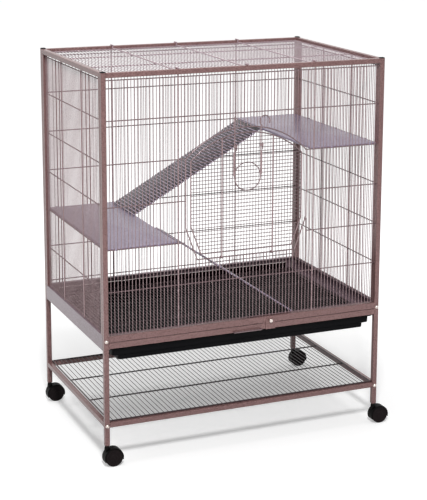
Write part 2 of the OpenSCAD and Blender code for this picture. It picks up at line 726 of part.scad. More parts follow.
module grille_rear_rail() color(pale_steel) at_origin()
    translate([-grille_half, grille_back + grille_wire / 2 + joint_gap, grille_z - grille_wire / 2 + 0.2])
        cube([2 * grille_half, rear_rail_t, rear_rail_h]);

module pull_handle() color(steel) at_origin() {
    y_bar = -hd - handle_off;
    for (s = [-1, 1]) {
        wire_y(y_bar, -hd - joint_gap, s * handle_w / 2, handle_z, handle_d, 24);
        translate([s * handle_w / 2, y_bar, handle_z]) sphere(d = handle_d + 0.1, $fn = 24);
    }
    wire_x(-handle_w / 2, handle_w / 2, y_bar, handle_z, handle_d, 24);
}

module catch_plate() color(steel) at_origin() difference() {
    translate([catch_x - catch_w / 2, -hd - joint_gap - catch_t, catch_bottom])
        cube([catch_w, catch_t, base_top - 6 - catch_bottom]);
    translate([catch_x, -hd - 5, catch_z]) rotate([-90, 0, 0])
        cylinder(d = catch_screw_d + 2 * turn_gap, h = 10);
}

module catch_screw() color(bright) at_origin() translate([catch_x, -hd - joint_gap, catch_z]) {
    rotate([90, 0, 0]) translate([0, 0, catch_t + 0.1]) cylinder(d = catch_screw_d * 2, h = 5);
    rotate([90, 0, 0]) translate([0, 0, -8]) cylinder(d = catch_screw_d, h = 10 + catch_t);
}

module base_tray() color(black_plastic) at_origin() difference() {
    low = rim_top - tray_depth;
    step = low + basin_depth;
    w = tray_wall;
    union() {
        translate([0, 0, rim_z]) linear_extrude(rim_t)
            rounded_rect(-tray_half - rim_w, tray_half + rim_w, -tray_front - rim_w, tray_back + rim_w, 6);
        translate([0, 0, step]) linear_extrude(rim_top - step)
            rounded_rect(-tray_half, tray_half, -tray_front, tray_back, 8);
        translate([0, 0, low]) linear_extrude(basin_depth + 0.01)
            rounded_rect(-tray_half + basin_inset, tray_half - basin_inset,
                -tray_front + basin_front, tray_back - basin_inset, basin_r);
    }
    translate([0, 0, step + w]) linear_extrude(tray_depth)
        rounded_rect(-tray_half + w, tray_half - w, -tray_front + w, tray_back - w, 8 - w);
    translate([0, 0, low + w]) linear_extrude(tray_depth)
        rounded_rect(-tray_half + basin_inset + w, tray_half - basin_inset - w,
            -tray_front + basin_front + w, tray_back - basin_inset - w, basin_r - w);
}

// A caster body about its leg's axis, with the wheels' axle one trail to the right
module caster_hood(sx, sy) color(black_plastic) at_origin() translate([sx * post_x, sy * post_y, 0])
    difference() {
        union() {
            translate([caster_trail, 0, axle_z]) rotate([90, 0, 0]) difference() {
                cylinder(r = hood_out, h = hood_w, center = true, $fn = 64);
                for (s = [-1, 1]) translate([0, 0, s * (caster_web / 2 + hood_w / 2)])
                    cylinder(r = hood_in, h = hood_w, center = true, $fn = 64);
                translate([-2 * hood_out, -2 * hood_out - 8, -hood_w])
                    cube([4 * hood_out, 2 * hood_out, 2 * hood_w]);
            }
            translate([caster_trail, 0, axle_z]) rotate([90, 0, 0])
                cylinder(r = axle_d, h = caster_web, center = true);
            translate([-6, -caster_web / 2, axle_z - 5]) cube([caster_trail + 6, caster_web, 20]);
            translate([0, 0, axle_z + 10]) cylinder(d = caster_web, h = hood_top - axle_z - 10);
        }
        translate([0, 0, stem_bottom - 1]) cylinder(d = stem_d + 2 * turn_gap, h = hood_top);
        translate([caster_trail, 0, axle_z]) rotate([90, 0, 0])
            cylinder(d = axle_d + 2 * turn_gap, h = 2 * hood_w, center = true);
    }

module caster_hood_front_left() caster_hood(-1, -1);
module caster_hood_front_right() caster_hood(1, -1);
module caster_hood_rear_left() caster_hood(-1, 1);
module caster_hood_rear_right() caster_hood(1, 1);

// A wheel's disc with bevelled edges
module wheel_disc() {
    cylinder(d = wheel_d, h = wheel_w - 2, center = true, $fn = 64);
    for (s = [0, 180]) rotate([s, 0, 0]) translate([0, 0, wheel_w / 2 - 1])
        cylinder(d1 = wheel_d, d2 = wheel_d - 2, h = 1, $fn = 64);
}

module caster_wheels(sx, sy) color(black_plastic) at_origin()
    translate([sx * post_x + caster_trail, sy * post_y, axle_z]) rotate([90, 0, 0]) {
        cylinder(d = axle_d, h = hood_w, center = true);
        for (s = [-1, 1]) translate([0, 0, s * (caster_web / 2 + 0.3 + wheel_w / 2)]) difference() {
            wheel_disc();
            translate([0, 0, s * wheel_w / 2]) difference() {
                cylinder(r = wheel_d / 2 - 4, h = 2, center = true, $fn = 64);
                cylinder(r = wheel_d / 6, h = 3, center = true, $fn = 64);
            }
        }
    }

module caster_wheels_front_left() caster_wheels(-1, -1);
module caster_wheels_front_right() caster_wheels(1, -1);
module caster_wheels_rear_left() caster_wheels(-1, 1);
module caster_wheels_rear_right() caster_wheels(1, 1);

front_frame();
back_frame();
left_frame();
right_frame();
front_bars_left();
front_bars_right();
front_bars_above();
front_bars_below();
door_opening_frame();
back_bars();
left_bars();
right_bars();
top_grid();
front_rail();
left_apron();
right_apron();
rear_apron();
legs();
leg_inserts();
frame_bolts();
post_caps();
shelf_frame();
shelf_bars();
caster_stems();
lower_platform();
upper_platform();
platform_rods();
upper_ramp();
lower_ramp();
door_leaf();
door_bars();
door_stiffeners();
latch_guides();
door_latch();
floor_grille();
grille_front_rail();
grille_rear_rail();
pull_handle();
catch_plate();
catch_screw();
base_tray();
caster_hood_front_left();
caster_hood_front_right();
caster_hood_rear_left();
caster_hood_rear_right();
caster_wheels_front_left();
caster_wheels_front_right();
caster_wheels_rear_left();
caster_wheels_rear_right();
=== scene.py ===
# %% [markdown]
# # Ferret cage on a rolling stand
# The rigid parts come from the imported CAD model, already in their places and in metres.
# This script gives every part its surface finish, adds the small formed details that the
# solids leave plain, and sets up a quiet studio with the camera where the photographer stood.

import json
import math

import bmesh
import bpy
import numpy as np
from mathutils import Matrix, Vector


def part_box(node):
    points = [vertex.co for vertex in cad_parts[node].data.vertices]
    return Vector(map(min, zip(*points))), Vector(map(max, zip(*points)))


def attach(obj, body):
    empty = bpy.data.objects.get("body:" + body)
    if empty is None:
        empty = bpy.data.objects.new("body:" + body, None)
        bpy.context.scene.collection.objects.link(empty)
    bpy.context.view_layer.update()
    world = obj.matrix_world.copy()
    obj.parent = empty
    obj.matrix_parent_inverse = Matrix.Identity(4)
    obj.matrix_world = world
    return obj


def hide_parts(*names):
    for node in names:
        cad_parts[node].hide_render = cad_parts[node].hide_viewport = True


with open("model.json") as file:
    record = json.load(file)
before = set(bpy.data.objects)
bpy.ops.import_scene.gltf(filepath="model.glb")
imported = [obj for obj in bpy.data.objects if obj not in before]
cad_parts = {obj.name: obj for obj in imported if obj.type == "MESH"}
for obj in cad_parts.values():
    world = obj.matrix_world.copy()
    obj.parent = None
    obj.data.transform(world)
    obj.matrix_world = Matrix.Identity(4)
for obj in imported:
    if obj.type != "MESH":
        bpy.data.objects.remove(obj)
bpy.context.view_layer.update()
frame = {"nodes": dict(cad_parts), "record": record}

# %% [markdown]
# ## The camera
# The photograph looks a little down at the cage from the front left, with a long lens, so the
# uprights stay close to parallel. The place, angles and lens come from lining up the corners of
# the frame, the bolts and the casters with the photograph. The picture's centre sits slightly
# off the optical axis, which is what a small lens shift does.

# %% Place the camera
TRAIL = 0.016  # the casters trail to the right, and the origin is in the middle of the footprint


def aim(yaw, pitch, roll):
    """Right, up and forward vectors of a camera turned from +Y by yaw, down by pitch, then rolled."""
    cy, sy, cp, sp = math.cos(yaw), math.sin(yaw), math.cos(pitch), math.sin(pitch)
    forward = Vector((sy * cp, cy * cp, -sp))
    right = Vector((cy, -sy, 0))
    up = right.cross(forward)
    cr, sr = math.cos(roll), math.sin(roll)
    return cr * right + sr * up, -sr * right + cr * up, forward


YAW, PITCH, ROLL = 23.999, 11.415, 0.394  # degrees
PHOTO_W, PHOTO_H = 427, 500  # the photograph's size in pixels
FOCAL_PX, SENSOR_MM = 1466.4, 36
AXIS_X, AXIS_Y = 242.3, 160  # the pixel on the optical axis

right, up, forward = aim(math.radians(YAW), math.radians(PITCH), math.radians(ROLL))
lens = bpy.data.cameras.new("photo_camera")
camera = bpy.data.objects.new("photo_camera", lens)
bpy.context.collection.objects.link(camera)
camera.matrix_world = Matrix((
    (*(right[i] for i in range(3)), 0),
    (*(up[i] for i in range(3)), 0),
    (*(-forward[i] for i in range(3)), 0),
    (0, 0, 0, 1),
)).transposed()
camera.location = (-1.5114 - TRAIL, -3.6179, 1.5155)
lens.sensor_width = SENSOR_MM
lens.lens = FOCAL_PX / PHOTO_H * SENSOR_MM
lens.shift_x = -(AXIS_X - PHOTO_W / 2) / PHOTO_H
lens.shift_y = -(PHOTO_H / 2 - AXIS_Y) / PHOTO_H
lens.clip_end = 60
bpy.context.scene.camera = camera
print("camera at", tuple(round(c, 3) for c in camera.location), "lens", round(lens.lens, 1))

# %% [markdown]
# ## Tools for materials
# Colours are written as the hex values a screen shows and turned to linear light in one place.
# One small helper adds a node, sets its values and links its inputs, so a material reads as a list.


# %% Material helpers
def linear(hex_colour):
    """Each channel of a hex colour from screen values to linear light, by the sRGB formula."""
    c = np.array([int(hex_colour[i:i + 2], 16) for i in (1, 3, 5)]) / 255
    lin = np.where(c <= 0.04045, c / 12.92, ((c + 0.055) / 1.055) ** 2.4)
    return (*lin.tolist(), 1.0)


def node(tree, kind, settings=None, **inputs):
    """Add a node; settings are its own options, inputs are values or sockets by input name."""
    n = tree.nodes.new(kind)
    for key, value in (settings or {}).items():
        setattr(n, key, value)
    for key, value in inputs.items():
        name = key.replace("_", " ")
        socket = n.inputs[int(key[1:])] if key[0] == "i" and key[1:].isdigit() else n.inputs[name]
        if isinstance(value, bpy.types.NodeSocket):
            tree.links.new(value, socket)
        else:
            socket.default_value = value
    return n


def new_material(name):
    """A material with an empty node tree but for its output and one surface shader."""
    m = bpy.data.materials.new(name)
    m.use_nodes = True
    m.node_tree.nodes.clear()
    out = m.node_tree.nodes.new("ShaderNodeOutputMaterial")
    shader = m.node_tree.nodes.new("ShaderNodeBsdfPrincipled")
    m.node_tree.links.new(shader.outputs["BSDF"], out.inputs["Surface"])
    return m, m.node_tree, shader


# %% [markdown]
# ## Hammered enamel on the tube and wire
# The steel is powder coated in a hammered finish, baked on: a dusty rose brown with darker pores
# and a soft, slightly metallic shine from the flakes in the paint. The real pores are about one
# millimetre across and would vanish at this size, so they are drawn three or four millimetres
# across. Noise is used and not a grid of cells, because the pores have no edges or rows.


# %% Enamel materials
def hammered_enamel(name, base, pore, bloom, rough, grain_mm=3.0, bump=0.25, metal=0.2, coat=0.12):
    """Base colour broken by pores of grain_mm, with a wide bloom of a second tone."""
    m, t, s = new_material(name)
    bloom_mm = 1000 / 9  # nine patches to the metre, each about a hand wide
    where = node(t, "ShaderNodeTexCoord").outputs["Object"]
    cells = node(t, "ShaderNodeTexNoise", Vector=where, Scale=1000 / grain_mm, Detail=3.0, Roughness=0.6)
    wide = node(t, "ShaderNodeTexNoise", Vector=where, Scale=1000 / bloom_mm, Detail=2.0)
    pores = node(t, "ShaderNodeMapRange", i0=cells.outputs["Fac"], i1=0.38, i2=0.62)
    bloom_mix = node(t, "ShaderNodeMix", {"data_type": "RGBA"}, i0=wide.outputs["Fac"],
                     i6=linear(base), i7=linear(bloom))
    tone = node(t, "ShaderNodeMix", {"data_type": "RGBA"}, i0=pores.outputs["Result"],
                i6=linear(pore), i7=bloom_mix.outputs[2])
    gloss = node(t, "ShaderNodeMapRange", i0=cells.outputs["Fac"], i1=0.3, i2=0.7,
                 i3=rough + 0.08, i4=rough - 0.05)
    relief = node(t, "ShaderNodeBump", Height=cells.outputs["Fac"], Strength=bump, Distance=0.0004)
    t.links.new(tone.outputs[2], s.inputs["Base Color"])
    t.links.new(gloss.outputs["Result"], s.inputs["Roughness"])
    t.links.new(relief.outputs["Normal"], s.inputs["Normal"])
    s.inputs["Metallic"].default_value = metal
    s.inputs["Specular IOR Level"].default_value = 0.32
    s.inputs["Coat Weight"].default_value = coat
    s.inputs["Coat Roughness"].default_value = 0.15
    return m


# Tubes are browner, sheet parts more lavender, and the wires under the animal's feet darker.
frame_enamel = hammered_enamel("hammered_enamel_frame", "#8b6a69", "#674a48", "#997776", 0.28)
wire_enamel = hammered_enamel("hammered_enamel_wire", "#a88f91", "#876e70", "#b59da0", 0.24)
top_wire_enamel = hammered_enamel("hammered_enamel_top_wire", "#b7a0a4", "#97808a", "#c6b2b6", 0.24)
floor_wire_enamel = hammered_enamel("enamel_floor_wire", "#463639", "#2c2124", "#544348", 0.34)
apron_enamel = hammered_enamel("hammered_enamel_apron", "#84707a", "#69555d", "#927e88", 0.30)
platform_enamel = hammered_enamel("hammered_enamel_platform", "#988ca2", "#7e7288", "#a79cae", 0.28, 4.0)
ramp_enamel = hammered_enamel("enamel_ramp", "#ab9bb0", "#8b7b90", "#bbadc0", 0.20)


def add_painted_shade(material, colour, start, end, mask="rib"):
    """Mix in a darker colour as painted shade where the mask is low: the rib attribute, or how upright the
    surface is.
    """
    t = material.node_tree
    shader = next(n for n in t.nodes if n.type == "BSDF_PRINCIPLED")
    if mask == "rib":
        low = node(t, "ShaderNodeAttribute", {"attribute_name": "rib"}).outputs["Fac"]
    else:
        normal = node(t, "ShaderNodeSeparateXYZ", Vector=node(t, "ShaderNodeNewGeometry").outputs["Normal"])
        level = node(t, "ShaderNodeMath", {"operation": "ABSOLUTE"}, i0=normal.outputs["Z"])
        low = node(t, "ShaderNodeMath", {"operation": "SUBTRACT"}, i0=1.0, i1=level.outputs[0]).outputs[0]
    amount = node(t, "ShaderNodeMapRange", {"interpolation_type": "SMOOTHSTEP"}, i0=low, i1=start, i2=end)
    tone = node(t, "ShaderNodeMix", {"data_type": "RGBA"}, i0=amount.outputs["Result"], i6=linear(colour),
                i7=shader.inputs["Base Color"].links[0].from_socket)
    t.links.new(tone.outputs[2], shader.inputs["Base Color"])


# Painted shade: the ramps are painted darker between their ribs.
add_painted_shade(ramp_enamel, "#241820", 0.55, 1.0)
# Painted shade: level wires are painted darker above and below than upright ones.
add_painted_shade(wire_enamel, "#57454a", 0.35, 0.97, mask="upright")
print("enamels made")

# %% [markdown]
# ## Black mouldings and bright zinc
# The tray is vacuum formed polystyrene and the casters are moulded nylon: black, with a faint
# grain of about a millimetre and a shine that varies over a hand's breadth. The bolts, the catch
# screw and the caster stems are zinc plated steel: bright, with a slightly cloudy shine.


# %% Plastic and zinc
def moulded_plastic(name, colour, grey, rough):
    """Black with clouds of a greyer tone; its weak shine keeps the inside of the tray dark."""
    m, t, s = new_material(name)
    grain_mm, cloud_mm = 1000 / 700, 1000 / 14  # grain of about 1.4 mm, clouds of about 70 mm
    where = node(t, "ShaderNodeTexCoord").outputs["Object"]
    grain = node(t, "ShaderNodeTexNoise", Vector=where, Scale=1000 / grain_mm, Detail=2.0)
    cloud = node(t, "ShaderNodeTexNoise", Vector=where, Scale=1000 / cloud_mm, Detail=3.0)
    tone = node(t, "ShaderNodeMix", {"data_type": "RGBA"}, i0=cloud.outputs["Fac"],
                i6=linear(colour), i7=linear(grey))
    gloss = node(t, "ShaderNodeMapRange", i0=cloud.outputs["Fac"], i1=0.3, i2=0.7,
                 i3=rough - 0.05, i4=rough + 0.08)
    relief = node(t, "ShaderNodeBump", Height=grain.outputs["Fac"], Strength=0.15, Distance=0.0003)
    t.links.new(tone.outputs[2], s.inputs["Base Color"])
    t.links.new(gloss.outputs["Result"], s.inputs["Roughness"])
    t.links.new(relief.outputs["Normal"], s.inputs["Normal"])
    s.inputs["IOR"].default_value = 1.36
    s.inputs["Specular IOR Level"].default_value = 0.12
    return m


def zinc_plate(name, colour, rough):
    """Bright metal with faint clouds of a lighter tone, each a few millimetres across."""
    m, t, s = new_material(name)
    cloud_mm = 1000 / 300
    where = node(t, "ShaderNodeTexCoord").outputs["Object"]
    cloud = node(t, "ShaderNodeTexNoise", Vector=where, Scale=1000 / cloud_mm, Detail=3.0)
    gloss = node(t, "ShaderNodeMapRange", i0=cloud.outputs["Fac"], i1=0.3, i2=0.7,
                 i3=rough - 0.06, i4=rough + 0.1)
    tone = node(t, "ShaderNodeMix", {"data_type": "RGBA"}, i0=cloud.outputs["Fac"],
                i6=linear(colour), i7=linear("#f4ece6"))
    t.links.new(tone.outputs[2], s.inputs["Base Color"])
    t.links.new(gloss.outputs["Result"], s.inputs["Roughness"])
    s.inputs["Metallic"].default_value = 1.0
    return m


tray_plastic = moulded_plastic("polystyrene_tray", "#060608", "#0b0b0e", 0.58)
caster_plastic = moulded_plastic("nylon_caster", "#060505", "#0a0808", 0.5)
wheel_plastic = moulded_plastic("nylon_wheel", "#171213", "#211b1c", 0.5)
insert_plastic = moulded_plastic("polyethylene_insert", "#0c0b0c", "#131112", 0.45)
zinc = zinc_plate("zinc_plated_steel", "#9c8b86", 0.28)
rail_zinc = zinc_plate("zinc_plated_rail", "#f2eae8", 0.2)
# Painted shade: the back of the rail, where its rib mask is low, is painted a dark colour.
add_painted_shade(rail_zinc, "#2c2226", 0.1, 0.9)
print("plastics and zinc made")

# %% Give each CAD part its finish
FINISH = {
    frame_enamel: ["front_frame", "back_frame", "left_frame", "right_frame", "legs", "shelf_frame",
                   "front_rail", "grille_front_rail", "catch_plate"],
    wire_enamel: ["front_bars_left", "front_bars_right", "front_bars_above", "front_bars_below",
                  "door_opening_frame", "back_bars", "left_bars", "right_bars", "door_leaf", "door_bars",
                  "door_stiffeners", "latch_guides", "door_latch", "pull_handle"],
    top_wire_enamel: ["top_grid"],
    floor_wire_enamel: ["floor_grille", "shelf_bars"],
    apron_enamel: ["left_apron", "right_apron", "rear_apron", "grille_rear_rail"],
    platform_enamel: ["lower_platform", "upper_platform", "platform_rods"],
    ramp_enamel: ["upper_ramp", "lower_ramp"],
    tray_plastic: ["base_tray"],
    insert_plastic: ["post_caps", "leg_inserts"],
    zinc: ["frame_bolts", "catch_screw", "caster_stems"],
    caster_plastic: [n for n in frame["nodes"] if n.startswith("caster_") and n != "caster_stems"],
}
for material, names in FINISH.items():
    for name in names:
        part = bpy.data.objects[name]
        if not part.data.materials:
            part.data.materials.append(material)
        for slot in part.material_slots:
            slot.link = "OBJECT"
            slot.material = material
print("finished", sum(len(v) for v in FINISH.values()), "parts")

# %% [markdown]
# ## Tools for shapes
# Every new piece is a skin over rings of points. A ring is one outline, and the skin joins each
# ring to the next. The points come from a formula as one whole numpy array, so a wheel, a tray
# and a ramp all go through the same few lines. Several skins can share one mesh, as the heads
# of eight bolts do.

# %% Skins over rings of points
MM = 0.001


def skin(rings, wrap=False):
    """Quads over rings[station, point, xyz]; wrap joins last to first, else both ends are capped."""
    n, m, _ = rings.shape
    a, b = np.arange(n if wrap else n - 1)[:, None], np.arange(m)[None, :]
    a2, b2 = (a + 1) % n, (b + 1) % m
    quads = np.stack([a * m + b, a * m + b2, a2 * m + b2, a2 * m + b], -1).reshape(-1, 4)
    caps = [] if wrap else [np.arange(m)[::-1], (n - 1) * m + np.arange(m)]
    return rings.reshape(-1, 3), quads, caps


def put(name, skins, material, body, stands_for, sharp=35, value=None):
    """One object from a list of skins in metres, smooth but for edges over sharp degrees."""
    starts = np.cumsum([0] + [len(s[0]) for s in skins])
    verts = np.concatenate([s[0] for s in skins])
    faces = [f for s, k in zip(skins, starts) for f in [*(s[1] + k), *(c + k for c in s[2])]]
    mesh = bpy.data.meshes.new(name)
    size = np.array([len(f) for f in faces])
    mesh.vertices.add(len(verts))
    mesh.loops.add(int(size.sum()))
    mesh.polygons.add(len(faces))
    mesh.vertices.foreach_set("co", verts.astype(np.float32).ravel())
    mesh.loops.foreach_set("vertex_index", np.concatenate(faces).astype(np.int32))
    mesh.polygons.foreach_set("loop_start", np.concatenate([[0], np.cumsum(size)[:-1]]).astype(np.int32))
    mesh.update(calc_edges=True)
    work = bmesh.new()
    work.from_mesh(mesh)
    bmesh.ops.recalc_face_normals(work, faces=work.faces)
    work.to_mesh(mesh)
    work.free()
    mesh.polygons.foreach_set("use_smooth", np.ones(len(faces), bool))
    mesh.set_sharp_from_angle(angle=math.radians(sharp))
    if value is not None:
        mesh.attributes.new("rib", "FLOAT", "POINT").data.foreach_set("value", value.astype(np.float32))
    mesh.materials.append(material)
    piece = bpy.data.objects.new(name, mesh)
    bpy.context.collection.objects.link(piece)
    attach(piece, body)
    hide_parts(*stands_for)
    print(name, len(verts), "points,", len(faces), "faces")
    return piece


def lathe(profile, centre, along, turn=(0.0, 360.0), steps=48, shape=None):
    """A closed (along, radius) profile turned round an axis; shape(angle, profile) may change it."""
    whole = turn[1] - turn[0] >= 360
    angle = np.radians(np.linspace(*turn, steps + (0 if whole else 1), endpoint=not whole))
    axis = np.array(along, float)
    side = np.array((1.0, 0, 0)) if abs(axis[0]) < 0.5 else np.array((0, 1.0, 0))
    up = np.cross(side, axis) if abs(axis[1]) > 0.5 else np.cross(axis, side)
    p = np.repeat(np.asarray(profile, float)[None], len(angle), 0)
    if shape is not None:
        p = shape(angle[:, None], p)
    out = np.cos(angle)[:, None, None] * side + np.sin(angle)[:, None, None] * up
    rings = np.asarray(centre) + p[..., :1] * axis + p[..., 1:] * out
    return skin(rings, wrap=whole)


def rounded(x0, x1, y0, y1, z, r, steps=6):
    """An outline with round corners at height z: each corner is a quarter circle of radius r."""
    turn = np.radians(np.linspace(0, 90, steps + 1))
    cx, cy = np.array([x1 - r, x0 + r, x0 + r, x1 - r]), np.array([y1 - r, y1 - r, y0 + r, y0 + r])
    a = turn[None, :] + np.radians([0, 90, 180, 270])[:, None]
    x, y = cx[:, None] + r * np.cos(a), cy[:, None] + r * np.sin(a)
    return np.stack([x.ravel(), y.ravel(), np.full(x.size, z)], -1)


def box_of(name):
    """Low and high corner of a CAD part in metres."""
    lo, hi = (np.array(v[:3]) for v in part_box(name))
    return lo, hi


print("shape tools ready")

# %% [markdown]
# ## The ribbed ramps
# Each ramp is a pressed steel sheet with round ribs across it at the pitch of the cage's bars, and
# a hook at the top that hangs over a rod on the platform. The ribs could be separate rods laid
# on a plate, but the real sheet flows from rib to groove. So the thickness is a function of the
# distance down the ramp, and the edges swell at each rib, which gives the scalloped outline.

# %% Ribbed ramps
RAMP_L, RIB_PITCH, RIB_R, SHEET_T, RAMP_HALF = 0.434, 0.009525, 0.0024, 0.0016, 0.082
HOOK_IN, HOOK_OUT = 0.0021, 0.0036
REST_GAP = 0.0003  # under the last rib
RIB_END = 0.002  # how far a rib sticks out past the sheet
SHEET_MID = HOOK_OUT - SHEET_T / 2


def ramp_skins(hinge, run, rest_z):
    """Stations down the slope: half thickness blends the sheet and the nearest rib by fourth powers."""
    drop = hinge[2] - rest_z
    slope = (math.atan(SHEET_MID / RAMP_L)
             + math.asin((drop - RIB_R - REST_GAP) / math.hypot(RAMP_L, SHEET_MID)))
    down = np.array((run * math.cos(slope), 0, -math.sin(slope)))
    normal = np.array((run * math.sin(slope), 0, math.cos(slope)))
    rib = np.floor((RAMP_L - HOOK_OUT - RIB_PITCH / 2) / RIB_PITCH)
    crest = RAMP_L - np.arange(rib, -1, -1) * RIB_PITCH
    # nine stations on each rib, in radii from its crest
    s = (crest[:, None] + RIB_R * np.array([-1, -0.92, -0.72, -0.4, 0, 0.4, 0.72, 0.92, 0.99])).ravel()
    s = np.concatenate([[0], s])
    near = np.clip(np.round((RAMP_L - s) / RIB_PITCH), 0, rib)
    rod = np.sqrt(np.clip(RIB_R ** 2 - (s - (RAMP_L - near * RIB_PITCH)) ** 2, 0, None))
    sheet = np.where(s <= RAMP_L, SHEET_T / 2, 0)
    half = (rod ** 4 + sheet ** 4) ** 0.25
    swell = RAMP_HALF + RIB_END * np.sqrt(rod / RIB_R)
    turn = np.radians(np.linspace(-90, 90, 7))
    across = np.concatenate([(swell - half)[:, None] + half[:, None] * np.cos(turn),
                             -(swell - half)[:, None] - half[:, None] * np.cos(turn)], 1)
    lift = np.concatenate([half[:, None] * np.sin(turn), -half[:, None] * np.sin(turn)], 1)
    rings = (hinge + s[:, None, None] * down + (SHEET_MID + lift)[..., None] * normal
             + across[..., None] * np.array((0, 1.0, 0)))
    # the hook goes round the rod as a C, open below it, with round tips
    bend = np.radians(np.linspace(-52, 232, 37))
    tip = np.radians(np.linspace(0, 180, 7))[1:-1]
    mid, wall = (HOOK_IN + HOOK_OUT) / 2, (HOOK_OUT - HOOK_IN) / 2
    outer = np.stack([HOOK_OUT * np.cos(bend), HOOK_OUT * np.sin(bend)], 1)
    inner = np.stack([HOOK_IN * np.cos(bend[::-1]), HOOK_IN * np.sin(bend[::-1])], 1)

    def end(at, sense):
        c, d = np.array([np.cos(at), np.sin(at)]), np.array([-np.sin(at), np.cos(at)]) * sense
        return c * (mid + wall * np.cos(tip))[:, None] + d * (wall * np.sin(tip))[:, None]

    loop = np.concatenate([outer, end(bend[-1], 1), inner, end(bend[0], -1)[::-1]])
    sides = np.linspace(-RAMP_HALF, RAMP_HALF, 3)
    hook = (hinge + loop[None, :, :1] * down + loop[None, :, 1:] * normal
            + sides[:, None, None] * np.array((0, 1.0, 0)))
    # Painted shade mask for the rib attribute: 1 on the crests and along the side edges, falling to 0 in the
    # grooves, where the ramp is painted darker; the hook, at 0.8, is painted partly darker.
    crest_value = np.repeat((rod / RIB_R)[:, None], rings.shape[1], 1)
    crest_value[:, np.abs(np.tile(np.degrees(turn), 2)) < 65] = 1.0
    value = np.concatenate([crest_value.ravel(), np.full(hook.shape[0] * hook.shape[1], 0.8)])
    return [skin(rings), skin(hook)], value


hinges = {j["name"]: np.array(j["pos_m"]) for j in frame["record"]["behaviour"]["joints"] if "pos_m" in j}
skins, value = ramp_skins(hinges["upper_ramp_hinge"], -1, box_of("lower_platform")[1][2])
put("ribbed_ramp_upper", skins, ramp_enamel, "upper_ramp_body", ["upper_ramp"],
    value=value)
skins, value = ramp_skins(hinges["lower_ramp_hinge"], 1, box_of("floor_grille")[1][2])
put("ribbed_ramp_lower", skins, ramp_enamel, "lower_ramp_body", ["lower_ramp"],
    value=value)

# %% [markdown]
# ## The casters
# Each caster has two narrow wheels on one axle and a moulded body that arches over them. Wheel
# and body are turned shapes, so each is a profile carried round an axis. The wheel's outer face
# is dished, with five low webs that a cosine of the angle raises. The body stops short of the
# floor, lower at the back of the wheel than at the front.

# %% Casters
WHEEL_W, WEB = 7 * MM, 11 * MM
SIDE_GAP = 0.3 * MM  # between a wheel and the caster's web


def dished(angle, p):
    """Raise the dish by up to half a millimetre along five webs."""
    q = p.copy()
    inside = (p[..., 1] > 9 * MM) & (p[..., 1] < 18.9 * MM) & (np.abs(p[..., 0]) > 2.2 * MM)
    web = np.clip(np.cos(5 * angle) * 3 - 1.8, 0, 1)
    q[..., 0] += np.where(inside, np.sign(p[..., 0]) * 0.6 * MM * web, 0)
    return q


# Profiles as (along the axis, radius) in mm
tread = np.array([(-3.4, 3.1), (-3.5, 12), (-3.5, 21.4), (-3.2, 22.4), (-2.4, 22.95), (0, 23),
                  (2.4, 22.95), (3.2, 22.4), (3.5, 21.4), (3.5, 19.6), (3.3, 19.2), (2.6, 18.8),
                  (2.5, 14), (2.6, 9.4), (3.3, 8.8), (3.5, 8.2), (3.5, 4.4), (3.3, 3.1)]) * MM
rim = np.array([(-13.1, 23.9), (-13.1, 24.7), (-12.7, 25.3), (-11.8, 25.75), (-10, 25.8), (0, 25.8),
                (10, 25.8), (11.8, 25.75), (12.7, 25.3), (13.1, 24.7), (13.1, 23.9), (0, 23.8)]) * MM
web = np.array([(-5.45, 3.2), (-5.45, 23.9), (-5.2, 24.2), (5.2, 24.2), (5.45, 23.9), (5.45, 3.2)]) * MM
neck = np.array([(20, 5.4), (33, 5.5), (40, 5.5), (42.5, 6.0), (44, 6.8), (46, 7.0), (51, 6.6),
                 (53.4, 5.9), (54, 5.3), (54, 4.1), (20, 4.1)]) * MM
pin = np.array([(-13.1, 0.3), (-13.1, 2.4), (-12.6, 2.95), (12.6, 2.95), (13.1, 2.4), (13.1, 0.3)]) * MM
for corner in ("front_left", "front_right", "rear_left", "rear_right"):
    lo, hi = box_of("caster_wheels_" + corner)
    hub = (lo + hi) / 2
    stem = hinges["swivel_" + corner]
    wheels = []
    for side in (-1, 1):
        turned = tread * np.array((side, 1.0))
        middle = hub + np.array((0, side * (WEB / 2 + SIDE_GAP + WHEEL_W / 2), 0))
        wheels.append(lathe(turned, middle, (0, 1, 0), steps=80, shape=dished))
    wheels.append(lathe(pin, hub, (0, 1, 0), steps=24))
    put("twin_wheels_" + corner, wheels, wheel_plastic, "wheels_" + corner,
        ["caster_wheels_" + corner])
    hood = [lathe(rim, hub, (0, 1, 0), turn=(-16, 203), steps=56),
            lathe(web, hub, (0, 1, 0), turn=(-20, 200), steps=40),
            lathe(neck, (stem[0], stem[1], 0), (0, 0, 1), steps=32)]
    put("caster_body_" + corner, hood, caster_plastic, "swivel_" + corner,
        ["caster_hood_" + corner])

# %% [markdown]
# ## Stems and collars
# A zinc plated stem runs from each leg into its caster. A black ring sits between them, so the
# bright steel shows only as a thin line under it. Stem and ring are both turned profiles.

# %% Caster stems
POST_X, POST_Y = 387 * MM, 254 * MM  # the middle of the posts, measured from the middle of the frame
lo, hi = box_of("caster_stems")
stem = np.array([(lo[2], 0.2 * MM), (lo[2], 3.6 * MM), (lo[2] + 0.4 * MM, 4 * MM),
                 (hi[2] - 0.4 * MM, 4 * MM), (hi[2], 3.6 * MM), (hi[2], 0.2 * MM)])
ring = np.array([(55.1, 4.0), (55.1, 6.1), (55.5, 6.5), (56.5, 6.5), (56.9, 6.1), (56.9, 4.0)]) * MM
spots = [(x * POST_X - TRAIL, y * POST_Y, 0) for x in (-1, 1) for y in (-1, 1)]
put("turned_stems", [lathe(stem, c, (0, 0, 1), steps=20) for c in spots], zinc, "cage",
    ["caster_stems"])
put("stem_rings", [lathe(ring, c, (0, 0, 1), steps=32) for c in spots], caster_plastic, "cage",
    ["caster_stems"])

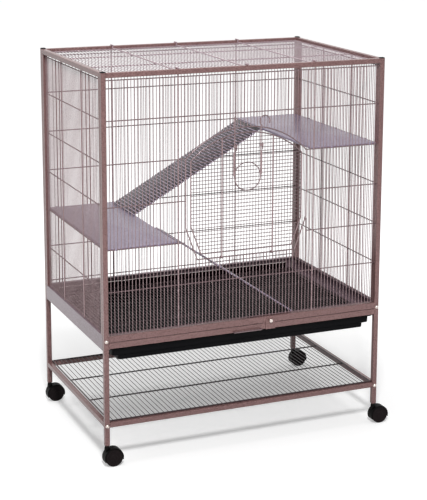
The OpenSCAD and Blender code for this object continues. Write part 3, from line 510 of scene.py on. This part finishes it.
# %% [markdown]
# ## The tray
# The tray is vacuum formed from black sheet: a rolled rim, a straight wall, a ledge and a shallower
# basin below it. Nothing on it is quite square. One outline with round corners is shrunk and
# lowered step by step, from the inside of the floor up over the rim and down the outside.

# %% Formed tray
lo, hi = box_of("base_tray")
# Each row in mm: height over the underside, inset from the rim's edge, extra inset of the basin's
# front, corner radius
STEPS = np.array([
    (2.5, 29.0, -14, 3.5), (2.7, 27.6, -14, 4.2), (3.6, 26.3, -14, 5), (12.5, 25.8, -14, 5.5),
    (14.6, 25.0, -14, 6.2), (15.4, 23.9, -14, 7.2), (15.5, 22.5, -14, 8),
    (15.6, 11.2, 0, 6), (16.2, 9.9, 0, 6), (17.4, 9.5, 0, 6),
    (32.2, 9.3, 0, 6), (33.4, 8.6, 0, 6), (34.0, 7.4, 0, 6.5), (34.0, 1.2, 0, 6.5), (33.6, 0.3, 0, 6.5),
    (32.6, 0.0, 0, 6.5), (31.8, 0.3, 0, 6.5), (31.5, 1.0, 0, 6.5), (31.5, 6.2, 0, 7), (31.0, 6.8, 0, 8),
    (30.0, 7.0, 0, 8), (15.0, 7.3, 0, 8), (13.6, 7.8, 0, 8), (13.0, 8.9, 0, 8), (13.0, 21.6, -14, 8),
    (12.6, 22.9, -14, 8), (11.6, 23.5, -14, 8), (1.8, 24.0, -14, 8), (0.5, 24.6, -14, 7.5),
    (0.0, 26.0, -14, 6.5)]) * MM
rings = np.stack([rounded(lo[0] + i, hi[0] - i, lo[1] + i + f, hi[1] - i, lo[2] + z, r)
                  for z, i, f, r in STEPS])
put("formed_tray", [skin(rings)], tray_plastic, "tray", ["base_tray"], sharp=50)

# %% [markdown]
# ## The platforms
# The platforms are folded from thin sheet: a flat top, lips that turn down with a small bend radius,
# and tabs that hook over the cage's cross wires. The sheet is a shallow pan turned upside down,
# made like the tray, and each tab is a strip bent along a quarter circle.

# %% Folded platforms
LIP, SHEET, BEND = 6 * MM, 1.0 * MM, 1.8 * MM
PLATFORM_W, PLATFORM_HALF, WALL_X = 190.5 * MM, 247.0 * MM, 380 * MM
OVER_WIRE = 3 * MM  # the platform's top over the cross wires that carry it
BAR_PITCH = 9.525 * MM  # the tabs stand between the bars, so their places are counted in pitches
TAB_HALF_W, TAB_HALF_T = 2.3 * MM, 0.48 * MM


def pan(x0, x1, y0, y1, top):
    """Down inside the lips, round their lower edge and up outside; the bends are quarter circles."""
    q = np.radians(np.linspace(90, 0, 6))
    inner = [(top - SHEET - (BEND - SHEET) * (1 - np.sin(a)), SHEET + (BEND - SHEET) * (1 - np.cos(a)))
             for a in q]
    outer = [(top - BEND * (1 - np.sin(a)), BEND * (1 - np.cos(a))) for a in q]
    hem = [(top - LIP + 0.4 * MM, SHEET), (top - LIP, SHEET - 0.3 * MM), (top - LIP, 0.3 * MM),
           (top - LIP + 0.4 * MM, 0)]
    path = inner + hem + outer[::-1]
    return skin(np.stack([rounded(x0 + i, x1 - i, y0 + i, y1 - i, z, max(2.5 * MM - i, 0.4 * MM), 4)
                          for z, i in path]))


def tab(root, out, reach):
    """A strip 4.6 mm wide: straight out over the wire, a quarter bend, then down past it."""
    turn = np.radians(np.linspace(90, 0, 6))
    r = 1.5 * MM
    run = np.concatenate([[(-1.5 * MM, 2.2 * MM)],
                          np.stack([reach + 0.5 * MM - r + r * np.cos(turn),
                                    2.2 * MM - r + r * np.sin(turn)], 1),
                          [(reach + 0.5 * MM, -1.4 * MM)]])
    ahead = np.gradient(run, axis=0)
    ahead /= np.linalg.norm(ahead, axis=1)[:, None]
    lift = np.stack([-ahead[:, 1], ahead[:, 0]], 1)
    corners = np.array([(-1, -1), (1, -1), (1, 1), (-1, 1)])
    flat = run[:, None] + corners[None, :, 1:] * TAB_HALF_T * lift[:, None]
    out, side = np.array(out, float), np.array((-out[1], out[0], 0.0))
    return skin(np.array(root) + flat[..., :1] * out + flat[..., 1:] * np.array((0, 0, 1.0))
                + corners[None, :, :1] * TAB_HALF_W * side)


def platform(name, node_name, side):
    """side is -1 where the platform hangs on the left wall and 1 on the right."""
    lo, hi = box_of(node_name)
    top, wall, y = hi[2], side * WALL_X - TRAIL, PLATFORM_HALF
    inner = wall - side * PLATFORM_W
    wire = top - OVER_WIRE
    reach = abs((lo[0] if side < 0 else hi[0]) - wall) - 1 * MM
    skins = [pan(min(wall, inner), max(wall, inner), -y, y, top)]
    skins += [tab((wall, k * BAR_PITCH, wire), (side, 0, 0), reach) for k in (-18.5, -0.5, 17.5)]
    for k in (-37.5, -25.5):
        x = -side * k * BAR_PITCH - TRAIL
        skins += [tab((x, s * y, wire), (0, s, 0), hi[1] - y - 1 * MM) for s in (-1, 1)]
    return put(name, skins, platform_enamel, "cage", [node_name])


platform("folded_platform_lower", "lower_platform", -1)
platform("folded_platform_upper", "upper_platform", 1)

# %% [markdown]
# ## The grille's rear rail
# The rail behind the floor grille is a shallow channel with both edges rolled into a bead. The
# beads catch the light, and the back of the rail, where the web joins them, is painted dark as
# painted shade. The shape is one outline of two circles joined by a thin web, carried along the rail.

# %% Rear rail with rolled edges
lo, hi = box_of("grille_rear_rail")
bead = (hi[1] - lo[1]) / 2
meet = math.degrees(math.acos((bead - 1 * MM) / bead))
low = np.radians(np.linspace(0, meet - 360, 15))
high = np.radians(np.linspace(-meet, -360, 15))
outline = np.concatenate([
    np.stack([lo[1] + bead + bead * np.cos(low), lo[2] + bead + bead * np.sin(low)], 1),
    np.stack([lo[1] + bead + bead * np.cos(high), hi[2] - bead + bead * np.sin(high)], 1)])
END_IN, STATIONS = 12 * MM, 9
along = np.linspace(lo[0] + END_IN, hi[0] - END_IN, STATIONS)
rings = np.concatenate([np.broadcast_to(along[:, None, None], (STATIONS, len(outline), 1)),
                        np.broadcast_to(outline[None], (STATIONS, *outline.shape))], -1)
# Painted shade mask: 0 along the back of the rail, where the web joins the beads and the dark colour is
# painted, 1 over the beads.
shine = np.tile(np.where(outline[:, 0] < lo[1] + 2 * bead - 1.1 * MM, 1.0, 0.0), STATIONS)
put("rolled_rear_rail", [skin(rings)], rail_zinc, "grille_drawer", ["grille_rear_rail"],
    value=shine)

# %% [markdown]
# ## Fasteners and caps
# The bolts have round button heads with a shallow recess, the catch has a knurled thumb screw,
# and a thin moulded cap closes the top of each post. They are a few millimetres across, so a
# short profile and a formula for the knurl are enough.

# %% Bolts, thumb screw and caps
button = np.array([(21.0, 0.2), (21.0, 2.7), (20.6, 2.95), (0, 2.95), (0, 5.0), (-0.5, 5.2), (-1.6, 4.9),
                   (-2.8, 4.1), (-3.7, 2.9), (-4.1, 2.0), (-4.2, 1.75), (-2.4, 1.6), (-2.4, 0.2)]) * MM
HEAD = 4.2 * MM  # the button's height over the tube
BOLT_Z = (333.8 * MM, 109 * MM)  # through the base and through the shelf
lo, hi = box_of("frame_bolts")
heads = []
for x in (-POST_X - TRAIL, POST_X - TRAIL):
    for z in BOLT_Z:
        heads.append(lathe(button, (x, lo[1] + HEAD, z), (0, 1, 0), steps=24))
        heads.append(lathe(button * np.array((-1.0, 1.0)), (x, hi[1] - HEAD, z), (0, 1, 0), steps=24))
put("button_bolts", heads, zinc, "cage", ["frame_bolts"])


def knurl(angle, p):
    """Twenty-four ridges: the radius follows a cosine of the angle on the grip alone."""
    q = p.copy()
    q[..., 1] += np.where(p[..., 1] > 4.5 * MM, 0.22 * MM * np.cos(24 * angle), 0)
    return q


lo, hi = box_of("catch_screw")
centre = (lo + hi) / 2
end = (hi[1] - lo[1]) / MM
grip = np.array([(0.3, 0.2), (0.3, 2.2), (0, 3.1), (0.15, 4.1), (0.7, 4.7), (4.4, 4.7), (4.8, 4.4),
                 (5.0, 3.9), (5.0, 2.45), (end - 0.5, 2.4), (end, 1.9), (end, 0.2)]) * MM
put("thumb_screw", [lathe(grip, (centre[0], lo[1], centre[2]), (0, 1, 0), steps=120, shape=knurl)],
    zinc, "screw", ["catch_screw"])

lo, hi = box_of("post_caps")
caps = []
for x in (-POST_X - TRAIL, POST_X - TRAIL):
    for y in (-POST_Y, POST_Y):
        # half width and depth under the top of the cap, in mm
        rise = [(5.2, (hi[2] - lo[2]) / MM), (5.2, 2.45), (6.4, 2.4), (6.5, 2.2), (6.5, 1.4), (6.2, 0.9),
                (5.2, 0.2), (4.2, 0)]
        caps.append(skin(np.stack([rounded(x - w * MM, x + w * MM, y - w * MM, y + w * MM, hi[2] - d * MM,
                                           1.5 * MM, 4) for w, d in rise])))
put("moulded_caps", caps, insert_plastic, "cage", ["post_caps"])

# %% [markdown]
# ## Floor, backdrop and light
# The photograph is a cut-out on white. The floor is a pale plane that shows white to the camera
# but still takes the cage's soft shadow, and the sky behind it is white to the camera alone.

# %% Studio
FLOOR_HALF = 30  # metres
floor_mesh = bpy.data.meshes.new("studio_floor")
floor_mesh.from_pydata([(x * FLOOR_HALF, y * FLOOR_HALF, 0) for x, y in ((-1, -1), (1, -1), (1, 1), (-1, 1))],
                       [], [(0, 1, 2, 3)])
floor = bpy.data.objects.new("studio_floor", floor_mesh)
bpy.context.collection.objects.link(floor)


def seen_rays(tree):
    """1 for rays of the camera, of reflections and of clear parts, 0 for the rays that light the cage."""
    path = node(tree, "ShaderNodeLightPath")
    either = node(tree, "ShaderNodeMath", {"operation": "MAXIMUM"}, i0=path.outputs["Is Camera Ray"],
                  i1=path.outputs["Is Glossy Ray"])
    return node(tree, "ShaderNodeMath", {"operation": "MAXIMUM"}, i0=either.outputs[0],
                i1=path.outputs["Is Transmission Ray"]).outputs[0]


SHADE_FROM, SHADE_TO = 0.55, 1.5  # metres from the middle of the floor over which it turns white
GLOW_FROM, GLOW_TO = 0.36, 0.8
SKY_LIGHT, SKY_WHITE = 0.26, 1.0
floor_material = bpy.data.materials.new("studio_paper")
floor_material.use_nodes = True
t = floor_material.node_tree
t.nodes.clear()
seen = seen_rays(t)
spot = node(t, "ShaderNodeVectorMath", {"operation": "LENGTH"},
            i0=node(t, "ShaderNodeTexCoord").outputs["Object"])
far = node(t, "ShaderNodeMapRange", {"interpolation_type": "SMOOTHSTEP"}, i0=spot.outputs["Value"],
           i1=SHADE_FROM, i2=SHADE_TO, i3=GLOW_FROM, i4=GLOW_TO)
paper = node(t, "ShaderNodeBsdfDiffuse", Color=linear("#e6e6e6"))
dull = node(t, "ShaderNodeBsdfDiffuse", Color=linear("#9a9a9a"))
glow = node(t, "ShaderNodeEmission", Color=(1, 1, 1, 1), Strength=far.outputs["Result"])
lifted = node(t, "ShaderNodeAddShader", i0=paper.outputs[0], i1=glow.outputs[0])
pick = node(t, "ShaderNodeMixShader", i0=seen, i1=dull.outputs[0], i2=lifted.outputs[0])
node(t, "ShaderNodeOutputMaterial", Surface=pick.outputs[0])
floor_mesh.materials.append(floor_material)

world = bpy.data.worlds.new("studio_sky")
bpy.context.scene.world = world
world.use_nodes = True
t = world.node_tree
t.nodes.clear()
seen = seen_rays(t)
dim = node(t, "ShaderNodeBackground", Color=(1, 1, 1, 1), Strength=SKY_LIGHT)
white = node(t, "ShaderNodeBackground", Color=(1, 1, 1, 1), Strength=SKY_WHITE)
mix = node(t, "ShaderNodeMixShader", i0=seen, i1=dim.outputs[0], i2=white.outputs[0])
node(t, "ShaderNodeOutputWorld", Surface=mix.outputs[0])


def softbox(name, place, target, size, power):
    """A square area lamp that faces a point."""
    lamp = bpy.data.lights.new(name, "AREA")
    lamp.energy, lamp.size = power, size
    o = bpy.data.objects.new(name, lamp)
    bpy.context.collection.objects.link(o)
    o.location = place
    o.rotation_euler = (Vector(target) - Vector(place)).to_track_quat("-Z", "Y").to_euler()
    return o


# name, place and target in metres, size in metres, power in watts
softbox("key_softbox", (-1.1, -2.9, 3.3), (0, 0, 0.4), 0.5, 130)
softbox("top_softbox", (-0.2, 0.6, 4.2), (0, 0, 0.4), 3.0, 66)
softbox("left_softbox", (-4.2, -0.4, 2.2), (0, 0, 0.5), 2.4, 10)
bpy.context.scene.view_settings.view_transform = "Standard"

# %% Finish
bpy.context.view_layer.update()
